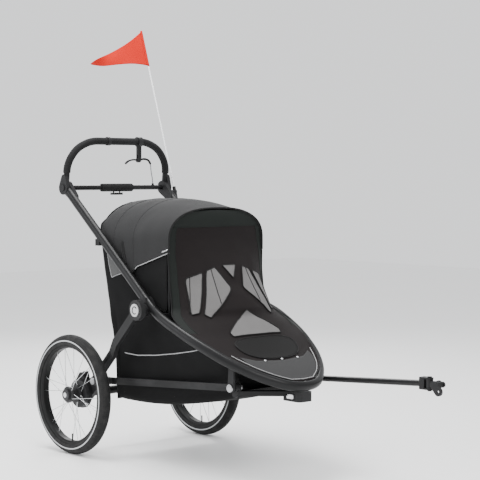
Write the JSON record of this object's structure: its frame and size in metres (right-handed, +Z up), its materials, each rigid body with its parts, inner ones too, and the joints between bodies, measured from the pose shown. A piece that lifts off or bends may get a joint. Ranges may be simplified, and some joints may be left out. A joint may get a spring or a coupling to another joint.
{
  "type": "child bicycle trailer",
  "caption": "Child bicycle trailer with spoked wheels, folding tube frame, closed fabric cabin, tilting push handlebar with brake lever, tow arm with axle hitch, and a safety pennant.",
  "frame": {"origin": "on the ground under the middle of the whole trailer, tow arm and pennant included", "axes": "+X forward along the tow arm, +Y to the trailer's left, +Z up"},
  "size_m": [1.9523, 0.668, 1.5619],
  "materials": {
    "tyre_rubber": "matt rubber",
    "tube_rubber": "matt",
    "rim_black": "satin black",
    "spoke_steel": "bright steel",
    "hub_black": "satin black",
    "bearing_steel": "ground steel",
    "frame_paint": "satin anthracite",
    "rail_paint": "satin dark grey",
    "strut_paint": "satin anthracite",
    "cast_black": "textured black",
    "bolt_steel": "zinc",
    "black_plastic": "grained",
    "silver_button": "satin",
    "board_plastic": "matt",
    "pad_fabric": "padded polyester",
    "webbing": "woven webbing",
    "tub_fabric": "coated polyester",
    "canopy_fabric": "melange polyester",
    "cover_fabric": "polyester with mesh windows",
    "foam_grip": "foam",
    "cable_housing": "smooth",
    "pole_grey": "fibreglass",
    "flag_fabric": "thin nylon"
  },
  "bodies": {
    "chassis": {"axle_beam": "frame_paint", "axle_brackets": "cast_black", "axle_stubs": "bolt_steel", "drum_brakes": "cast_black", "side_rails": "rail_paint", "frame_bolts": "bolt_steel", "front_yoke": "cast_black", "tow_socket": "cast_black", "tow_arm": "frame_paint", "seat_board": "board_plastic", "seat_base": "pad_fabric", "seat_back": "pad_fabric", "harness": "webbing", "tub": "tub_fabric"},
    "hoop": {"main_hoop": "frame_paint", "joint_hubs": "black_plastic", "cross_tube": "frame_paint", "cross_grip": "foam_grip", "hoop_brackets": "cast_black", "bows": "frame_paint", "canopy": "canopy_fabric", "side_panels": "tub_fabric", "front_cover": "cover_fabric", "rear_panel": "tub_fabric", "flag_pole": "pole_grey", "flag_socket": "black_plastic", "pennant": "flag_fabric"},
    "handlebar": {"handle_tube": "frame_paint", "handle_knuckles": "black_plastic", "handle_grip": "foam_grip", "brake_bracket": "black_plastic", "brake_cable": "cable_housing"},
    "fold_lever": {"fold_lever": "black_plastic"},
    "brake_lever": {"brake_lever": "black_plastic"},
    "tow_pin": {"tow_pin": "bolt_steel"},
    "receiver_button": {"receiver_button": "silver_button"},
    "hitch_knuckle": {"hitch_knuckle": "cast_black"},
    "axle_adapter": {"axle_adapter": "cast_black"},
    "wheel_left": {"tyre_left": "tyre_rubber", "inner_tube_left": "tube_rubber", "rim_left": "rim_black", "spokes_left": "spoke_steel", "hub_left": "hub_black", "hub_bearings_left": "bearing_steel", "hub_cap_left": "hub_black"},
    "strut_left": {"strut_left": "strut_paint"},
    "latch_button_left": {"latch_button_left": "silver_button"},
    "joint_button_left": {"joint_button_left": "black_plastic"},
    "axle_button_left": {"axle_button_left": "silver_button"},
    "wheel_right": {"tyre_right": "tyre_rubber", "inner_tube_right": "tube_rubber", "rim_right": "rim_black", "spokes_right": "spoke_steel", "hub_right": "hub_black", "hub_bearings_right": "bearing_steel", "hub_cap_right": "hub_black"},
    "strut_right": {"strut_right": "strut_paint"},
    "latch_button_right": {"latch_button_right": "silver_button"},
    "joint_button_right": {"joint_button_right": "black_plastic"},
    "axle_button_right": {"axle_button_right": "silver_button"}
  },
  "joints": [
    {"name": "frame_fold", "type": "hinge", "parent": "chassis", "child": "hoop", "pos_m": [0.29, 0, 0.3], "axis": [0, -1, 0], "range_deg": [0, 26], "deforming": ["tub", "rear_panel", "seat_back", "harness"]},
    {"name": "wheel_spin_left", "type": "hinge", "parent": "chassis", "child": "wheel_left", "pos_m": [-0.43, 0.3015, 0.213], "axis": [0, 1, 0], "continuous": true},
    {"name": "strut_fold_left", "type": "hinge", "parent": "chassis", "child": "strut_left", "pos_m": [-0.35, 0.2605, 0.265], "axis": [0, 1, 0], "range_deg": [0, 42]},
    {"name": "latch_button_left", "type": "slide", "parent": "strut_left", "child": "latch_button_left", "axis": [0, -1, 0], "range_m": [0, 0.0025], "stiffness_N_per_m": 1500},
    {"name": "joint_button_left", "type": "slide", "parent": "handlebar", "child": "joint_button_left", "axis": [0, -1, 0], "range_m": [0, 0.003], "stiffness_N_per_m": 1000},
    {"name": "axle_button_left", "type": "slide", "parent": "chassis", "child": "axle_button_left", "axis": [0, -1, 0], "range_m": [0, 0.003], "stiffness_N_per_m": 1000},
    {"name": "wheel_spin_right", "type": "hinge", "parent": "chassis", "child": "wheel_right", "pos_m": [-0.43, -0.3015, 0.213], "axis": [0, 1, 0], "continuous": true},
    {"name": "strut_fold_right", "type": "hinge", "parent": "chassis", "child": "strut_right", "pos_m": [-0.35, -0.2605, 0.265], "axis": [0, 1, 0], "range_deg": [0, 42]},
    {"name": "latch_button_right", "type": "slide", "parent": "strut_right", "child": "latch_button_right", "axis": [0, 1, 0], "range_m": [0, 0.0025], "stiffness_N_per_m": 1500},
    {"name": "joint_button_right", "type": "slide", "parent": "handlebar", "child": "joint_button_right", "axis": [0, 1, 0], "range_m": [0, 0.003], "stiffness_N_per_m": 1000},
    {"name": "axle_button_right", "type": "slide", "parent": "chassis", "child": "axle_button_right", "axis": [0, 1, 0], "range_m": [0, 0.003], "stiffness_N_per_m": 1000},
    {"name": "handlebar_tilt", "type": "hinge", "parent": "hoop", "child": "handlebar", "pos_m": [-0.566, 0, 0.947], "axis": [0, 1, 0], "range_deg": [-100, 25], "deforming": ["brake_cable"]},
    {"name": "brake_lever_squeeze", "type": "hinge", "parent": "handlebar", "child": "brake_lever", "pos_m": [-0.551, 0.088, 1.05], "axis": [-1, 0, 0], "range_deg": [0, 20], "stiffness_Nm_per_rad": 0.6},
    {"name": "fold_lever_squeeze", "type": "slide", "parent": "hoop", "child": "fold_lever", "axis": [0, 0, 1], "range_m": [0, 0.003], "stiffness_N_per_m": 1500},
    {"name": "receiver_button_press", "type": "slide", "parent": "chassis", "child": "receiver_button", "axis": [0, 1, 0], "range_m": [0, 0.003], "stiffness_N_per_m": 1000},
    {"name": "tow_pin_pull", "type": "slide", "parent": "chassis", "child": "tow_pin", "axis": [0, 0, 1], "range_m": [0, 0.03], "stiffness_N_per_m": 200},
    {"name": "hitch_yaw", "type": "hinge", "parent": "chassis", "child": "hitch_knuckle", "pos_m": [0.915, 0.081, 0.3565], "axis": [0, 0, 1], "range_deg": [-50, 50]},
    {"name": "hitch_pitch", "type": "hinge", "parent": "hitch_knuckle", "child": "axle_adapter", "pos_m": [0.942, 0.081, 0.3565], "axis": [0, 1, 0], "range_deg": [-35, 35]}
  ],
  "couplings": [
    {"joint": "strut_fold_left", "follows": "frame_fold", "ratio": 1.61},
    {"joint": "strut_fold_right", "follows": "frame_fold", "ratio": 1.61}
  ]
}
